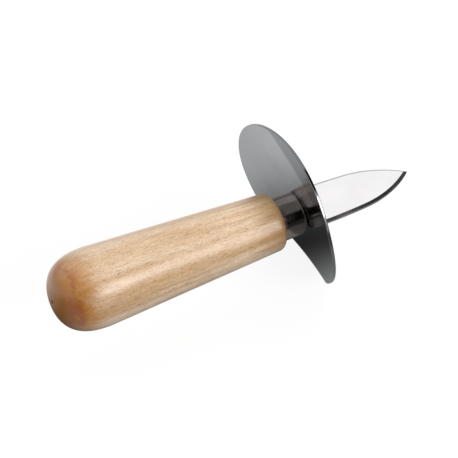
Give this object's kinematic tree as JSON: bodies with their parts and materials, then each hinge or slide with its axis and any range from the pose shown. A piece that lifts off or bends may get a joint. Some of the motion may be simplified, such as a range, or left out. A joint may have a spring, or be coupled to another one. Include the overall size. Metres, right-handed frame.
{
  "type": "oyster knife",
  "caption": "Oyster knife with a turned beech handle, polished ferrule, round sheet-metal hand guard and short leaf-shaped blade.",
  "frame": {"origin": "mouth of the small centre hole in the butt, on the knife's long axis", "axes": "+X along the knife from the butt to the tip, +Y across the blade's width, +Z out of the blade's flat"},
  "size_m": [0.1496, 0.0666, 0.0666],
  "materials": {
    "beech": "turned beech under clear varnish, short darker flecks along the grain",
    "ferrule_metal": "dark polished nickel plating",
    "guard_steel": "satin stainless sheet with fine brushed lines",
    "blade_steel": "polished stainless with ground bevels"
  },
  "bodies": {
    "root": {"handle": "beech", "ferrule": "ferrule_metal", "guard": "guard_steel", "blade": "blade_steel"}
  },
  "joints": []
}
